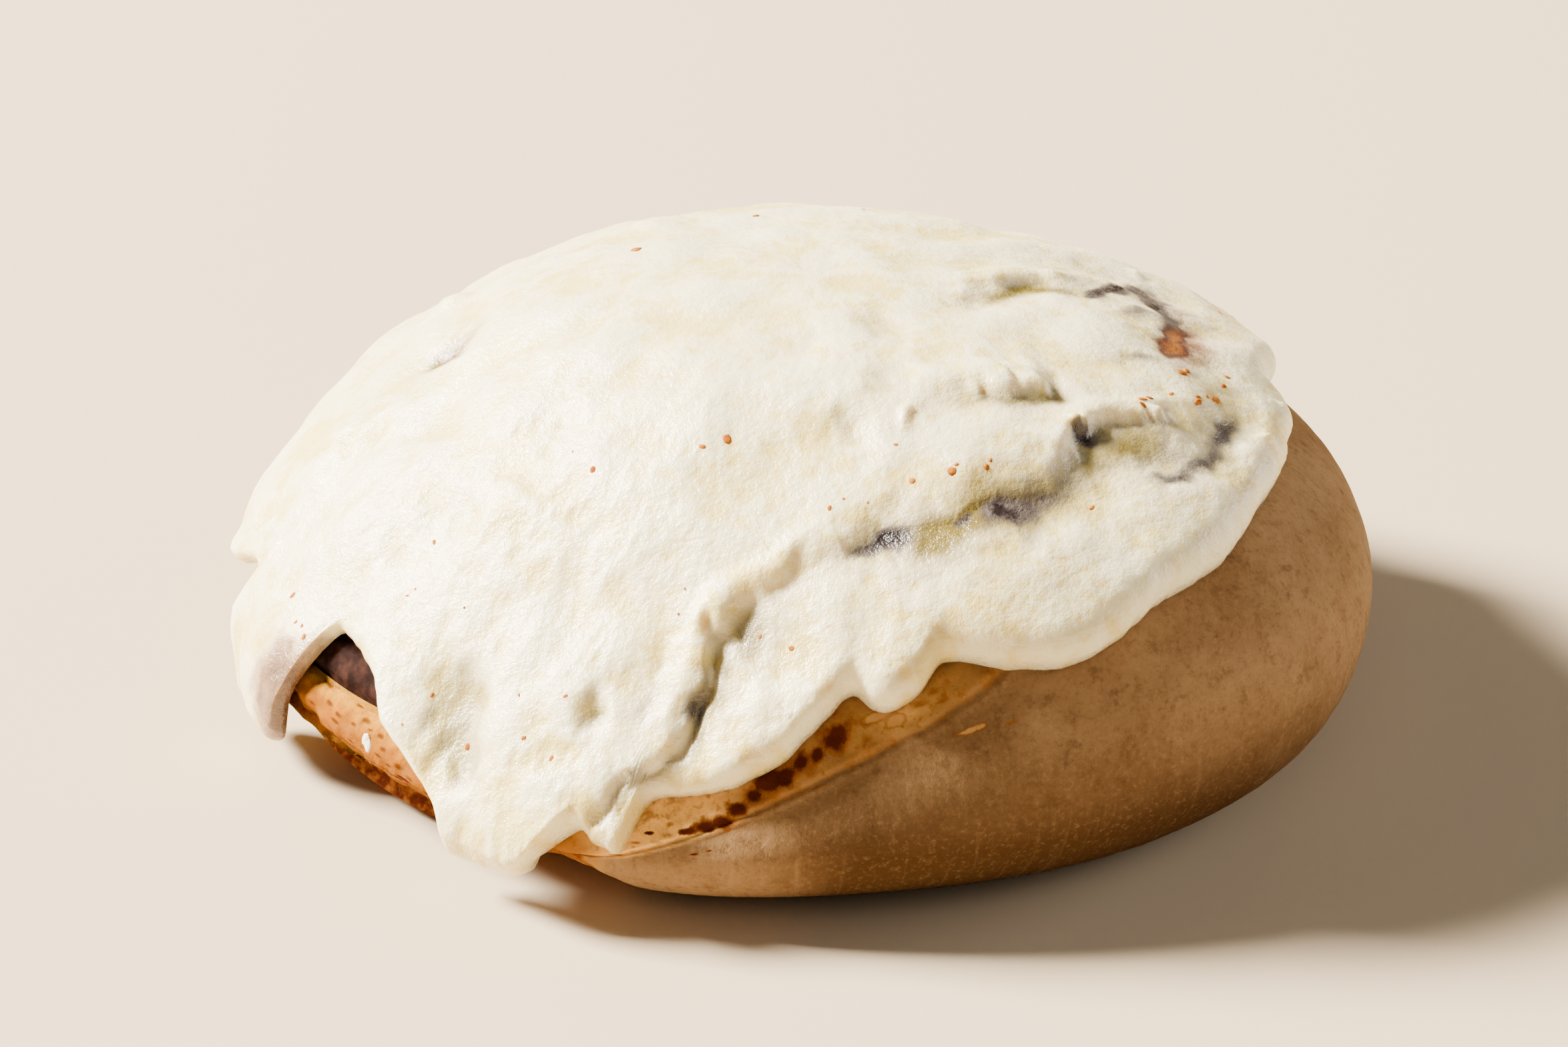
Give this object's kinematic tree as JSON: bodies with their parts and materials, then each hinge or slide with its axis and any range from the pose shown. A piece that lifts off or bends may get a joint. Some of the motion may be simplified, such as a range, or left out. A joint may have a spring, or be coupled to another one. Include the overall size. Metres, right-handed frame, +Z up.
{
  "type": "cinnamon roll",
  "caption": "Large baked cinnamon roll: a flattish spiral of soft dough with dark filling between its turns, under thick cream icing that runs down the sides in lobes and drips.",
  "frame": {"origin": "middle of the bounding box in plan, on the surface that the roll rests on", "axes": "+Z up; -Y towards the side that is usually seen, with the long front drip; +X towards the tall tan wall"},
  "size_m": [0.1494, 0.129, 0.0589],
  "materials": {
    "baked_dough": "soft tan bread skin with a fine grain, browned and caramelised along the upper rim",
    "cinnamon_filling": "dark purple-brown cinnamon sugar paste, smooth and moist",
    "icing": "thick cream-white icing, moist, slightly granular and translucent"
  },
  "bodies": {
    "root": {"dough": "baked_dough", "filling": "cinnamon_filling", "icing": "icing"}
  },
  "joints": []
}
